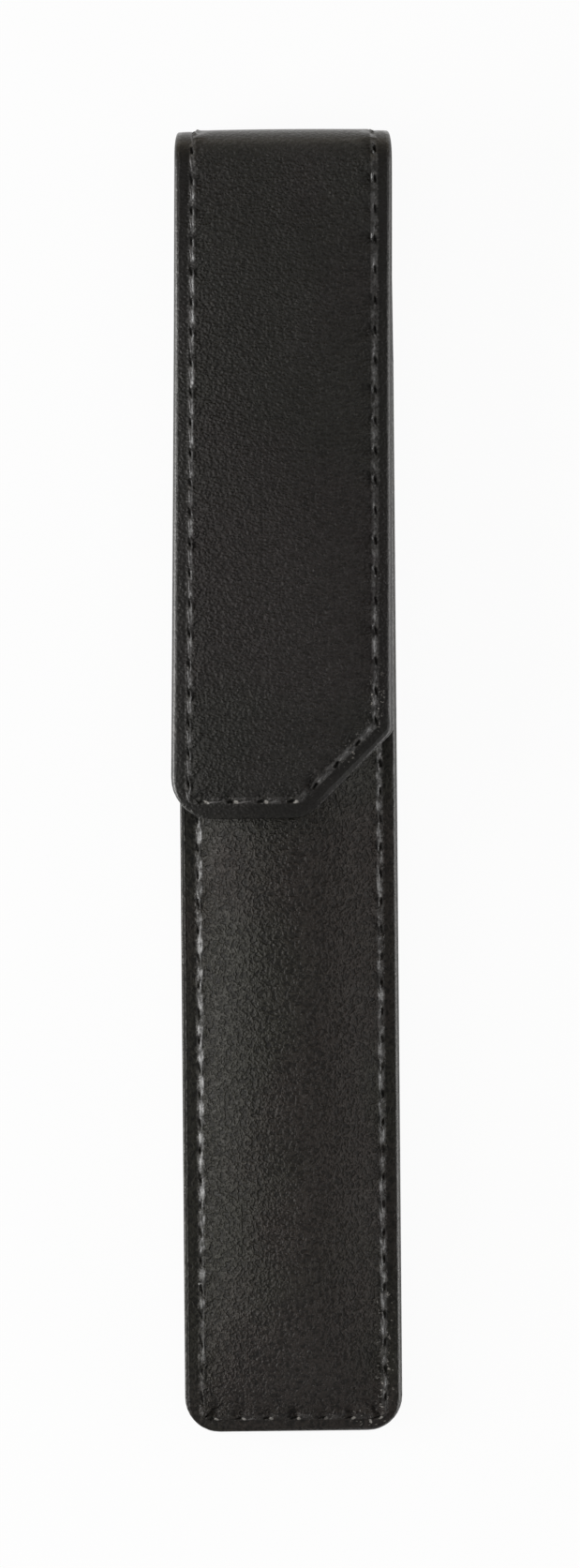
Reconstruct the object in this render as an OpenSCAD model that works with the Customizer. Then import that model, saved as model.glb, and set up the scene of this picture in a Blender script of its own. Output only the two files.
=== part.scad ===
// Single pen sleeve: a flat leather pocket whose back runs on over a soft fold
// and comes down the front as a long flap with one corner cut off.
// The sleeve lies on its back: X across it, Y along it towards the fold, Z up to the front.
// The origin is on the back's outer face, at the middle of the length and of the width.

/* [Body] */
// Length of the closed sleeve, from the closed end to the top of the fold
sleeve_len = 160; // [140:1:180]
// Width of the pocket across its edges
body_w = 26.8; // [24:0.1:32]
// Corner radius at the closed end
body_corner_r = 4.3; // [3:0.1:6]
// Distance from the top of the fold down to the pocket's mouth
mouth_drop = 28; // [15:0.5:60]
// Height of the front panel's crown above its sewn margin
crown_h = 4.8; // [3:0.1:7]
// Length over which the crown comes up from the closed end
crown_run = 20; // [8:0.5:24]

/* [Layers] */
// Thickness of the outer leather
leather_t = 1; // [0.8:0.05:1.4]
// Thickness of the lining
lining_t = 0.4; // [0.35:0.05:0.7]
// Thickness of the stiffening boards
board_t = 0.4; // [0.2:0.05:0.6]
// Gap between the closed flap and the top of the front panel
flap_gap = 0.25; // [0.2:0.05:1]

/* [Flap] */
// Length of the flap from the top of the fold to its free end
flap_len = 84.4; // [60:0.2:110]
// How much narrower the sleeve is at the fold than across the pocket
fold_draw_in = 0.3; // [0:0.1:2]
// How much wider the flap is near its free end than the pocket
flap_spread = 0.35; // [-1:0.05:1.5]
// Sideways lean of the flap's free end, towards -X
flap_lean = 0.83; // [0:0.01:1]
// Length of the cut corner along each edge
cut_corner = 10.5; // [6:0.1:14]
// Radius of the flap's round corner
flap_corner_r = 5.1; // [3.5:0.1:7]
// Radius where the cut corner meets the free end
cut_end_r = 5; // [3:0.1:8]
// Radius where the cut corner meets the long edge
cut_side_r = 1.6; // [0.5:0.1:3]
// How far the flap's long edges hang below its middle
flap_droop = 1.8; // [0:0.1:2.5]
// Length from the fold over which the edges come down
droop_run = 24; // [10:1:40]

/* [Seams] */
// Distance from the edge to the line of stitches
seam_inset = 2.1; // [1.6:0.1:2.6]
// Distance from the closed end to its line of stitches
end_seam_inset = 1.65; // [1.3:0.05:2.4]
// Thickness of the thread
thread_d = 0.45; // [0.3:0.05:0.6]
// Length of thread that shows at each stitch
stitch_len = 2.3; // [1.6:0.1:2.8]
// Length from stitch to stitch on the pocket
body_pitch = 3.4; // [3.2:0.1:5]
// Length from stitch to stitch on the flap
flap_pitch = 3.65; // [3.2:0.05:5]
// Width of the furrow that the stitches lie in
furrow_w = 0.9; // [0.7:0.05:1.2]
// Depth of the furrow on the front and on the flap
furrow_d = 0.3; // [0.2:0.05:0.4]
// Depth of the furrow on the back, which hides the thread from the table
back_furrow_d = 0.5; // [0.45:0.05:0.65]
// Flat margin left between the furrow and the crown or the boards
seam_land = 0.45; // [0.3:0.05:1]

/* [Fold] */
// Number of stiff segments that stand for the soft fold
fold_segments = 3; // [3:1:3]
// Gap between neighbouring segments at the outer face
segment_gap = 0.12; // [0.08:0.01:0.2]

/* [Hidden] */

$fn = 64;
corner_steps = 8;
thread_sides = 16;
// Reach of a cutting shape past the face that it cuts
past = 1;

leather_colour = [0.13, 0.125, 0.12];
lining_colour = [0.2, 0.19, 0.18];
board_colour = [0.42, 0.36, 0.29];
thread_colour = [0.3, 0.29, 0.31];

// Widths at the fold and near the flap's free end
fold_w = body_w - fold_draw_in;
flap_tip_w = body_w + flap_spread;

// Heights of the layers of the pocket
back_top = leather_t;
lining_top = back_top + lining_t;
front_lining_z = lining_top;
front_leather_z = front_lining_z + lining_t;
margin_top = front_leather_z + leather_t;
crown_top = margin_top + crown_h;

// Heights of the layers of the flap
flap_leather_z = crown_top + flap_gap + lining_t + board_t;
flap_top = flap_leather_z + leather_t;

// The fold is half a tube, as thick as the closed sleeve
fold_r = flap_top / 2;
fold_y = sleeve_len / 2 - fold_r;
closed_end_y = -sleeve_len / 2;
mouth_y = sleeve_len / 2 - mouth_drop;
flap_end_y = sleeve_len / 2 - flap_len;
segment_turn = 180 / (fold_segments + 1);
half_gap_turn = segment_gap / 2 / fold_r * 180 / PI;

// Insets from the edge to the front panel's crown and to the linings raised over the boards
panel_inset = seam_inset + furrow_w / 2 + seam_land;
end_panel_inset = end_seam_inset + furrow_w / 2 + seam_land;
cover_lap = 0.5;
flap_board_inset = panel_inset + cover_lap;
// The back's board stays clear of the low sides and of the low end of the front panel
back_board_inset = panel_inset + 1.6;
back_board_end_inset = end_panel_inset + 3;
back_board_r = 3.5;
board_to_fold = 1;

// Outlines

function unit(v) = v / norm(v);
function inward(p, q) = let (d = unit(q - p)) [-d.y, d.x];
function miter(b, n1, n2, d) = b + d * (n1 + n2) / (1 + n1 * n2);

function inset_corner(a, b, c, d) = miter(b, inward(a, b), inward(b, c), d);

function round_corner(a, b, c, r) =
    r <= 0 ? [b] :
    let (
        n1 = inward(a, b),
        n2 = inward(b, c),
        centre = miter(b, n1, n2, r),
        start = atan2(-n1.y, -n1.x),
        turn = acos(n1 * n2)
    )
    [for (i = [0:corner_steps])
        centre + r * [cos(start + turn * i / corner_steps), sin(start + turn * i / corner_steps)]];

// Counter-clockwise outline with round corners, moved inwards by d
function outline(corners, radii, d) =
    let (
        n = len(corners),
        moved = [for (i = [0:n - 1])
            inset_corner(corners[(i + n - 1) % n], corners[i], corners[(i + 1) % n], d)]
    )
    [for (i = [0:n - 1])
        each round_corner(moved[(i + n - 1) % n], moved[i], moved[(i + 1) % n], max(radii[i] - d, 0))];

// Pocket outline from the top left corner round the closed end, open at top_y
function body_outline(d, end_d, top_y, corner_r = body_corner_r) =
    outline([
        [-body_w / 2, top_y + d],
        [-body_w / 2, closed_end_y + end_d - d],
        [body_w / 2, closed_end_y + end_d - d],
        [body_w / 2, top_y + d]
    ], [0, corner_r, corner_r, 0], d);

// Outline of the back's board, let out by lap
function back_board_outline(lap = 0) =
    body_outline(
        back_board_inset - lap, back_board_end_inset - lap, fold_y - board_to_fold + lap,
        back_board_r + back_board_inset
    );

flap_left = -flap_tip_w / 2 - flap_lean;
flap_right = flap_tip_w / 2 - flap_lean;
left_slope = (-fold_w / 2 - flap_left) / (fold_y - flap_end_y);
right_slope = (fold_w / 2 - flap_right) / (fold_y - flap_end_y);

// Flap outline from the top left corner round the free end, open at top_y
function flap_outline(d, top_y) =
    let (rise = top_y + d - flap_end_y)
    outline([
        [flap_left + left_slope * rise, top_y + d],
        [flap_left, flap_end_y],
        [flap_right - cut_corner, flap_end_y],
        [flap_right + right_slope * cut_corner, flap_end_y + cut_corner],
        [flap_right + right_slope * rise, top_y + d]
    ], [0, flap_corner_r, cut_end_r, cut_side_r, 0], d);

// Back outline: as wide as the pocket up to the mouth, then drawn in to the fold
back_outline = concat(
    body_outline(0, 0, mouth_y),
    [[fold_w / 2, fold_y], [-fold_w / 2, fold_y]]
);

module plate(points, z, t) {
    translate([0, 0, z])
        linear_extrude(t)
            polygon(points);
}

// Ring between two outlines of the same family
module furrow(outer, inner, z, t) {
    translate([0, 0, z])
        linear_extrude(t)
            difference() {
                polygon(outer);
                polygon(inner);
            }
}

// Fold, as slices of a half tube about the X direction
// The turn counts from the back, at 0, over the top to the flap, at 180

module about_fold() {
    translate([0, fold_y, fold_r])
        rotate([90, 0, 90])
            children();
}

module tube_slice(r_in, r_out, from, to, w) {
    reach = 2 * r_out;
    middle = (from + to) / 2 - 90;
    about_fold()
        linear_extrude(w, center = true)
            intersection() {
                difference() {
                    circle(r_out);
                    circle(r_in);
                }
                polygon([
                    [0, 0],
                    reach * [cos(from - 90), sin(from - 90)],
                    reach * [cos(middle), sin(middle)],
                    reach * [cos(to - 90), sin(to - 90)]
                ]);
            }
}

module fold_furrows() {
    for (side = [-1, 1])
        translate([side * (fold_w / 2 - seam_inset), 0, 0])
            about_fold()
                linear_extrude(furrow_w, center = true)
                    difference() {
                        circle(fold_r + past);
                        circle(fold_r - furrow_d);
                    }
}

module fold_leather(from, to) {
    difference() {
        tube_slice(fold_r - leather_t, fold_r, from, to, fold_w);
        fold_furrows();
    }
}

module fold_lining(from, to) {
    tube_slice(fold_r - leather_t - lining_t, fold_r - leather_t, from, to, fold_w);
}

// Curved layers: a slab of even upright thickness over a grid of [x, y, height] points

module grid_slab(grid, nx, z, t) {
    ny = len(grid) / nx;
    upper = nx * ny;
    last = nx - 1;
    far = (ny - 1) * nx;
    points = [for (lift = [z, z + t], p = grid) [p.x, p.y, lift + p.z]];
    cells = [for (j = [0:ny - 2], i = [0:nx - 2]) j * nx + i];
    faces = concat(
        [for (c = cells) each [
            [upper + c, upper + c + nx, upper + c + nx + 1],
            [upper + c, upper + c + nx + 1, upper + c + 1]
        ]],
        [for (c = cells) each [
            [c, c + nx + 1, c + nx],
            [c, c + 1, c + nx + 1]
        ]],
        [for (i = [0:nx - 2]) each [
            [i, upper + i, upper + i + 1], [i, upper + i + 1, i + 1],
            [far + i, upper + far + i + 1, upper + far + i], [far + i, far + i + 1, upper + far + i + 1]
        ]],
        [for (j = [0:ny - 2]) let (a = j * nx, b = a + nx) each [
            [a, upper + b, upper + a], [a, b, upper + b],
            [last + a, upper + last + a, upper + last + b], [last + a, upper + last + b, last + b]
        ]]
    );
    polyhedron(points, faces);
}

// Front panel: flat margins, and a crown between the seams that runs down to the closed end

crown_half = body_w / 2 - panel_inset;
crown_start_y = closed_end_y + end_panel_inset;
crown_power = 2;
crown_columns = 20;
crown_rows = 9;

// Share of the full height at u, from 0 in the middle to 1 at the foot
function crown_rise(u) = 1 - pow(min(abs(u), 1), crown_power);

function crown_height(x, y) =
    crown_h * crown_rise(x / crown_half) * crown_rise(max(0, 1 - (y - crown_start_y) / crown_run));

crown_xs = concat(
    [-body_w / 2 - past],
    [for (i = [0:crown_columns]) crown_half * sin(180 * i / crown_columns - 90)],
    [body_w / 2 + past]
);
crown_ys = concat(
    [closed_end_y - past],
    [for (j = [0:crown_rows]) crown_start_y + crown_run * (1 - cos(90 * j / crown_rows))],
    [mouth_y + past]
);
crown_grid = [for (y = crown_ys, x = crown_xs) [x, y, crown_height(x, y)]];

module front_layer(z, t) {
    intersection() {
        grid_slab(crown_grid, len(crown_xs), z, t);
        plate(body_outline(0, 0, mouth_y), 0, crown_top + past);
    }
}

// Flap: straight across at the fold, with long edges that come down towards the free end

droop_columns = 12;
droop_rows = 6;

function left_edge(y) = flap_left + left_slope * (y - flap_end_y);
function right_edge(y) = flap_right + right_slope * (y - flap_end_y);

// Place across the flap, from -1 at its left edge to 1 at its right edge
function across(x, y) = (2 * x - left_edge(y) - right_edge(y)) / (right_edge(y) - left_edge(y));

function ease(t) = t * t * (3 - 2 * t);

function flap_height(x, y) =
    -flap_droop * pow(across(x, y), 2) * ease(min(max((fold_y - y) / droop_run, 0), 1));

flap_ys = concat(
    [flap_end_y - past],
    [for (j = [0:droop_rows]) fold_y - droop_run * (1 - j / droop_rows)],
    [fold_y + past]
);
flap_grid = [for (y = flap_ys, i = [0:droop_columns])
    let (
        middle = (left_edge(y) + right_edge(y)) / 2,
        x = middle + (2 * i / droop_columns - 1) * (flap_tip_w / 2 + past)
    )
    [x, y, flap_height(x, y)]];

module flap_layer(points, z, t) {
    intersection() {
        grid_slab(flap_grid, droop_columns + 1, z, t);
        plate(points, 0, flap_top + 2 * past);
    }
}

// Stitches

function point_at(path, s, i = 1) =
    let (step = path[i] - path[i - 1], l = norm(step))
    s <= l || i == len(path) - 1
        ? [path[i - 1] + step * s / l, atan2(step.y, step.x)]
        : point_at(path, s - l, i + 1);

function path_length(path, i = 1) =
    i >= len(path) ? 0 : norm(path[i] - path[i - 1]) + path_length(path, i + 1);

// Places of the stitches along a path, each as a point and a direction
function stitch_places(path, pitch) =
    let (l = path_length(path), count = round(l / pitch))
    [for (i = [0:count - 1]) point_at(path, (i + 0.5) * l / count)];

module stitch(place, z, tilt = 0) {
    translate([place[0].x, place[0].y, z])
        rotate([0, -tilt, place[1]])
            rotate([0, 90, 0])
                cylinder(d = thread_d, h = stitch_len, center = true, $fn = thread_sides);
}

// A stitch that lies on the flap's slope, z above or below the level of its middle
module flap_stitch(place, z) {
    reach = stitch_len / 2 * [cos(place[1]), sin(place[1])];
    before = place[0] - reach;
    after = place[0] + reach;
    from_z = flap_height(before.x, before.y);
    to_z = flap_height(after.x, after.y);
    stitch(place, z + (from_z + to_z) / 2, atan2(to_z - from_z, stitch_len));
}

// A stitch that bends with the fold, centred on the given turn
module fold_stitch(r, turn) {
    span = stitch_len / fold_r * 180 / PI;
    for (side = [-1, 1])
        translate([side * (fold_w / 2 - seam_inset), 0, 0])
            about_fold()
                rotate([0, 0, turn - 90 - span / 2])
                    rotate_extrude(angle = span)
                        translate([r, 0])
                            circle(d = thread_d, $fn = thread_sides);
}

// How far a stitch presses into the floor of its furrow, and into a lining
press_in = 0.04;
lining_press_in = min(0.3, lining_t - 0.05);
front_thread_z = margin_top - furrow_d - press_in + thread_d / 2;
mouth_thread_z = lining_top - lining_press_in + thread_d / 2;
back_thread_z = back_furrow_d + press_in - thread_d / 2;

body_seam = body_outline(seam_inset, end_seam_inset, fold_y + body_pitch / 2);
body_places = stitch_places(body_seam, body_pitch);
flap_seam = flap_outline(seam_inset, fold_y + flap_pitch / 2);
flap_places = stitch_places(flap_seam, flap_pitch);

// Pocket

module back_leather() {
    color(leather_colour) {
        difference() {
            plate(back_outline, 0, leather_t);
            intersection() {
                furrow(
                    body_outline(seam_inset - furrow_w / 2, end_seam_inset - furrow_w / 2, fold_y),
                    body_outline(seam_inset + furrow_w / 2, end_seam_inset + furrow_w / 2, fold_y + past),
                    -past, past + back_furrow_d
                );
                translate([-body_w / 2, closed_end_y, -past])
                    cube([body_w, fold_y - closed_end_y, 2 * past + leather_t]);
            }
        }
        fold_leather(0, segment_turn / 2 - half_gap_turn);
    }
}

module back_board() {
    color(board_colour)
        plate(back_board_outline(), back_top, board_t);
}

module back_lining() {
    color(lining_colour) {
        difference() {
            union() {
                plate(back_outline, back_top, lining_t);
                plate(back_board_outline(cover_lap), back_top, board_t + lining_t);
            }
            plate(back_board_outline(), back_top - past, board_t + past);
        }
        fold_lining(0, segment_turn / 2 - half_gap_turn);
    }
}

module front_lining() {
    color(lining_colour)
        front_layer(front_lining_z, lining_t);
}

module front_leather() {
    color(leather_colour)
        difference() {
            front_layer(front_leather_z, leather_t);
            furrow(
                body_outline(seam_inset - furrow_w / 2, end_seam_inset - furrow_w / 2, mouth_y + past),
                body_outline(seam_inset + furrow_w / 2, end_seam_inset + furrow_w / 2, mouth_y + 2 * past),
                margin_top - furrow_d, furrow_d + past
            );
        }
}

// Above the mouth the front thread lies on the back's lining
module body_thread_front() {
    color(thread_colour)
        for (place = body_places)
            stitch(place, place[0].y > mouth_y + stitch_len / 2 ? mouth_thread_z : front_thread_z);
}

module body_thread_back() {
    color(thread_colour)
        for (place = body_places)
            stitch(place, back_thread_z);
}

// Fold

module fold_leather_segment(i) {
    color(leather_colour)
        fold_leather((i - 0.5) * segment_turn + half_gap_turn, (i + 0.5) * segment_turn - half_gap_turn);
}

module fold_lining_segment(i) {
    color(lining_colour)
        fold_lining((i - 0.5) * segment_turn + half_gap_turn, (i + 0.5) * segment_turn - half_gap_turn);
}

module fold_thread_segment(i) {
    color(thread_colour) {
        fold_stitch(fold_r - furrow_d - press_in + thread_d / 2, i * segment_turn);
        fold_stitch(fold_r - leather_t - lining_t + lining_press_in - thread_d / 2, i * segment_turn);
    }
}

// Flap

module flap_leather() {
    color(leather_colour) {
        difference() {
            flap_layer(flap_outline(0, fold_y), flap_leather_z, leather_t);
            intersection() {
                grid_slab(flap_grid, droop_columns + 1, flap_top - furrow_d, furrow_d + past);
                furrow(
                    flap_outline(seam_inset - furrow_w / 2, fold_y),
                    flap_outline(seam_inset + furrow_w / 2, fold_y + past),
                    0, flap_top + past
                );
                translate([-flap_tip_w, flap_end_y, 0])
                    cube([2 * flap_tip_w, fold_y - flap_end_y, flap_top + past]);
            }
        }
        fold_leather(180 - segment_turn / 2 + half_gap_turn, 180);
    }
}

module flap_board() {
    color(board_colour)
        flap_layer(flap_outline(flap_board_inset, fold_y - board_to_fold), flap_leather_z - board_t, board_t);
}

module flap_lining() {
    cover_t = board_t + lining_t;
    color(lining_colour) {
        difference() {
            union() {
                flap_layer(flap_outline(0, fold_y), flap_leather_z - lining_t, lining_t);
                flap_layer(
                    flap_outline(flap_board_inset - cover_lap, fold_y - board_to_fold + cover_lap),
                    flap_leather_z - cover_t, cover_t
                );
            }
            flap_layer(
                flap_outline(flap_board_inset, fold_y - board_to_fold),
                flap_leather_z - board_t, board_t + past
            );
        }
        fold_lining(180 - segment_turn / 2 + half_gap_turn, 180);
    }
}

module flap_thread_outer() {
    color(thread_colour)
        for (place = flap_places)
            flap_stitch(place, flap_top - furrow_d - press_in + thread_d / 2);
}

module flap_thread_inner() {
    color(thread_colour)
        for (place = flap_places)
            flap_stitch(place, flap_leather_z - lining_t + lining_press_in - thread_d / 2);
}

back_leather();
back_board();
back_lining();
front_lining();
front_leather();
body_thread_front();
body_thread_back();
fold_leather_segment(1);  // fold_leather_1
fold_leather_segment(2);  // fold_leather_2
fold_leather_segment(3);  // fold_leather_3
fold_lining_segment(1);  // fold_lining_1
fold_lining_segment(2);  // fold_lining_2
fold_lining_segment(3);  // fold_lining_3
fold_thread_segment(1);  // fold_thread_1
fold_thread_segment(2);  // fold_thread_2
fold_thread_segment(3);  // fold_thread_3
flap_leather();
flap_board();
flap_lining();
flap_thread_outer();
flap_thread_inner();
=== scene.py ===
"""Single pen sleeve: black leather pocket with a long flap, seen from straight above on a pale table.

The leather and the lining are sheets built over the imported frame. Each one is a band of spokes that follows its edge,
where the rounded edge, the furrow and the stitch holes are, and a grid between the bands. Lengths are in millimetres
until a mesh is made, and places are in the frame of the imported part.
"""
import math

import bmesh
import bpy
import numpy as np
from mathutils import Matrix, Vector


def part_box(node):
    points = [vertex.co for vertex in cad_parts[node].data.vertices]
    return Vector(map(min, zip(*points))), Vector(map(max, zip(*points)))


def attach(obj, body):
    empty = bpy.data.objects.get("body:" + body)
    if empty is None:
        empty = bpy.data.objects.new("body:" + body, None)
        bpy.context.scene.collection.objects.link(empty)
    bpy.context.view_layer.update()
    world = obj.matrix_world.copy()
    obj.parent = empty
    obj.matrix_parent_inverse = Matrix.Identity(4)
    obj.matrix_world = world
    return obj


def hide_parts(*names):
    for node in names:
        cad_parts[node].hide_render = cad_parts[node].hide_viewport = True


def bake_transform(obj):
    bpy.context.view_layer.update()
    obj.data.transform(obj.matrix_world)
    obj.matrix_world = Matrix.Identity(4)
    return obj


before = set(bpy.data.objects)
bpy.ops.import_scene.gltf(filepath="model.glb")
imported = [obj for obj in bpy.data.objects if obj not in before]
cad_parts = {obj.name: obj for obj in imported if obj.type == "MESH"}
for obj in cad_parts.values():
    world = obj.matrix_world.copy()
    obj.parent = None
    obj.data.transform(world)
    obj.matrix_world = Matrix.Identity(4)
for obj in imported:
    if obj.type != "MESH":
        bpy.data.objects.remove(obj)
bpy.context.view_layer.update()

MM = 0.001


# Sizes

def box_mm(node):
    """Lowest and highest corner of a CAD node, in millimetres."""
    low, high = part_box(node)
    return np.array(low) / MM, np.array(high) / MM


front_low, front_high = box_mm("front_leather")
fold_low, fold_high = box_mm("fold_leather_2")
flap_low, flap_high = box_mm("flap_leather")

body_w = front_high[0] - front_low[0]
closed_end_y = front_low[1]
mouth_y = front_high[1]
flap_top = flap_high[2]
fold_r = flap_top / 2
fold_y = fold_high[1] - fold_r
fold_w = fold_high[0] - fold_low[0]
flap_end_y = flap_low[1]

leather_t = 1.0
lining_t = 0.4
board_t = 0.4
front_leather_z = front_low[2]
front_lining_z = front_leather_z - lining_t
margin_top = front_leather_z + leather_t
crown_h = front_high[2] - margin_top
crown_run = 20.0
crown_power = 2.0

body_corner_r = 4.3
flap_spread = 0.35
flap_lean = 0.83
cut_corner = 10.5
flap_corner_r = 5.1
cut_end_r = 5.0
cut_side_r = 1.6
flap_droop = 1.8
droop_run = 24.0

seam_inset = 2.1
end_seam_inset = 1.65
seam_corner_r = 0.7
crown_inset = 2.25
end_crown_inset = 1.8
body_pitch = 3.4
flap_pitch = 3.65
stitch_len = 2.3
thread_d = 0.45
furrow_d = 0.3
back_furrow_d = 0.5

cover_edge_r = 0.75
front_edge_r = 0.6
lining_edge_r = 0.25
hinge_turns = (22.5, 67.5, 112.5, 157.5)
hinge_step = 45

# Where the lining steps up over the boards
back_cover_inset = 4.1
back_cover_end_inset = 5.05
back_cover_r = 4.0
flap_cover_inset = 3.0
cover_to_fold = 0.5
cover_step_run = 0.45
cover_lap = 0.1


def smooth(t):
    t = np.clip(t, 0, 1)
    return t * t * (3 - 2 * t)


# Outlines

BODY_CORNERS = [
    (-body_w / 2, None), (-body_w / 2, closed_end_y), (body_w / 2, closed_end_y), (body_w / 2, None)
]
BODY_RADII = [body_corner_r, body_corner_r]

flap_tip_w = body_w + flap_spread
flap_left = -flap_tip_w / 2 - flap_lean
flap_right = flap_tip_w / 2 - flap_lean
left_slope = (-fold_w / 2 - flap_left) / (fold_y - flap_end_y)
right_slope = (fold_w / 2 - flap_right) / (fold_y - flap_end_y)


def flap_edges(y):
    """Where the flap's left and right edge lie."""
    up = y - flap_end_y
    return flap_left + left_slope * up, flap_right + right_slope * up


top_left, top_right = flap_edges(fold_y)
FLAP_CORNERS = [
    (top_left, fold_y), (flap_left, flap_end_y), (flap_right - cut_corner, flap_end_y),
    (flap_right + right_slope * cut_corner, flap_end_y + cut_corner), (top_right, fold_y)
]
FLAP_RADII = [flap_corner_r, cut_end_r, cut_side_r]


def meet(p, u, q, v):
    """Where the line through p along u meets the line through q along v."""
    t = ((q[0] - p[0]) * v[1] - (q[1] - p[1]) * v[0]) / (u[0] * v[1] - u[1] * v[0])
    return p + t * u


def inset_path(corners, radii, top_y, inset, end_inset):
    """Stretches of an open outline moved inwards, from its top left round the free end to its top right.

    A wide round corner gets narrower inwards, so that the seam turns nearly square."""
    points = [np.array([x, top_y if y is None else y]) for x, y in corners]
    ways = [(b - a) / np.linalg.norm(b - a) for a, b in zip(points, points[1:])]
    walls = [np.array([-w[1], w[0]]) for w in ways]
    moves = [end_inset if abs(w[0]) > 0.99 else inset for w in ways]
    lines = [(p + n * m, w) for p, n, m, w in zip(points, walls, moves, ways)]
    level = np.array([1.0, 0.0])
    top = np.array([0.0, top_y])
    joints = [meet(*lines[0], top, level)]
    joints += [meet(*a, *b) for a, b in zip(lines, lines[1:])]
    joints.append(meet(*lines[-1], top, level))
    stretches, start = [], joints[0]
    for i, r in enumerate(radii):
        r = max(r - inset * max((r - seam_corner_r) / seam_inset, 1), 0)
        turn = math.acos(float(ways[i] @ ways[i + 1]))
        back = r * math.tan(turn / 2)
        corner = joints[i + 1]
        stretches.append(("line", start, corner - back * ways[i]))
        centre = corner - back * ways[i] + r * walls[i]
        from_angle = math.atan2(-walls[i][1], -walls[i][0])
        stretches.append(("arc", centre, r, from_angle, turn))
        start = corner + back * ways[i + 1]
    stretches.append(("line", start, joints[-1]))
    return stretches


def stretch_length(s):
    return np.linalg.norm(s[2] - s[1]) if s[0] == "line" else s[2] * s[4]


def along(stretch, share):
    """Points at the given shares of the way along a stretch."""
    share = np.asarray(share, float)[:, None]
    if stretch[0] == "line":
        return stretch[1] + share * (stretch[2] - stretch[1])
    _, centre, r, start, turn = stretch
    angle = start + share * turn
    return centre + r * np.hstack([np.cos(angle), np.sin(angle)])


class Seam:
    """The line of stitches beside an outline, with its holes a pitch apart."""

    def __init__(self, corners, radii, end_inset, start_y, pitch):
        self.corners, self.radii, self.end_inset = corners, radii, end_inset
        self.start_y = start_y
        whole = [(x, start_y if y == fold_y else y) for x, y in corners]
        path = inset_path(whole, radii, start_y, seam_inset, end_inset)
        length = sum(stretch_length(s) for s in path)
        self.count = round(length / pitch)
        self.pitch = length / self.count

    def end_share(self, inset):
        """How far in from the free end a line lies that is this far in from the sides."""
        return inset * self.end_inset / seam_inset if inset < seam_inset else inset - seam_inset + self.end_inset

    def path(self, top_y, inset):
        return inset_path(self.corners, self.radii, top_y, inset, self.end_share(inset))

    def inset_of(self, points):
        """How far in from the nearest side each point lies, well inside the corners."""
        corners = [np.array([x, self.start_y if y is None or y == fold_y else y]) for x, y in self.corners]
        nearest = np.full(len(points), np.inf)
        for a, b in zip(corners, corners[1:]):
            way = (b - a) / np.linalg.norm(b - a)
            away = (points - a) @ np.array([-way[1], way[0]])
            if abs(way[0]) > 0.99:
                away = away + seam_inset - self.end_inset
            nearest = np.minimum(nearest, away)
        return nearest

    def phase_at(self, top_y):
        """Holes passed by the time the seam has come down its left side to top_y."""
        return (self.start_y - top_y) / self.pitch


body_seam = Seam(BODY_CORNERS, BODY_RADII, end_seam_inset, fold_y + body_pitch / 2, body_pitch)
flap_seam = Seam(FLAP_CORNERS, FLAP_RADII, seam_inset, fold_y + flap_pitch / 2, flap_pitch)

EDGE_TURNS = (0, 18, 36, 54, 72, 90)
BAND_LINES = [
    0.8, 1.05, 1.3, 1.48, 1.62, 1.74, 1.84, 1.93, 2.01, 2.1, 2.19, 2.27, 2.36, 2.46, 2.58, 2.74, 2.95, 3.2, 3.5,
    3.85, 4.3
]


def leather_lines(r):
    """Insets of the lines of a leather sheet's band: over an edge of this radius, then across the furrow."""
    return [r * (1 - math.cos(math.radians(a))) for a in EDGE_TURNS] + BAND_LINES


LINING_LINES = [0, 0.04, 0.13, 0.25, 0.7, 1.3, 1.7, 1.9, 2.1, 2.3, 2.5, 2.8, 3.0, 3.15, 3.35, 3.6, 3.9, 4.3]
# Places of the spokes round each stitch hole, along the seam
LEATHER_SPOKES = (-0.85, -0.62, -0.45, -0.3, -0.15, 0, 0.15, 0.3, 0.45, 0.62, 0.85, 1.15, 1.5, 1.9, 2.25)
LINING_SPOKES = (-0.7, -0.25, 0.25, 0.7, 1.2, 1.7, 2.2)
# Least number of spokes round a corner
ARC_SPOKES = 9
# Extra spokes and rows beside a cut end
CUT_END_STEPS = (0.03, 0.1, 0.21, 0.36, 0.54, 0.75)


# Spokes and rows closer together than this are left out
LEAST_STEP, LEAST_SHARE, LEAST_ROW = 0.05, 0.004, 0.02


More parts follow.
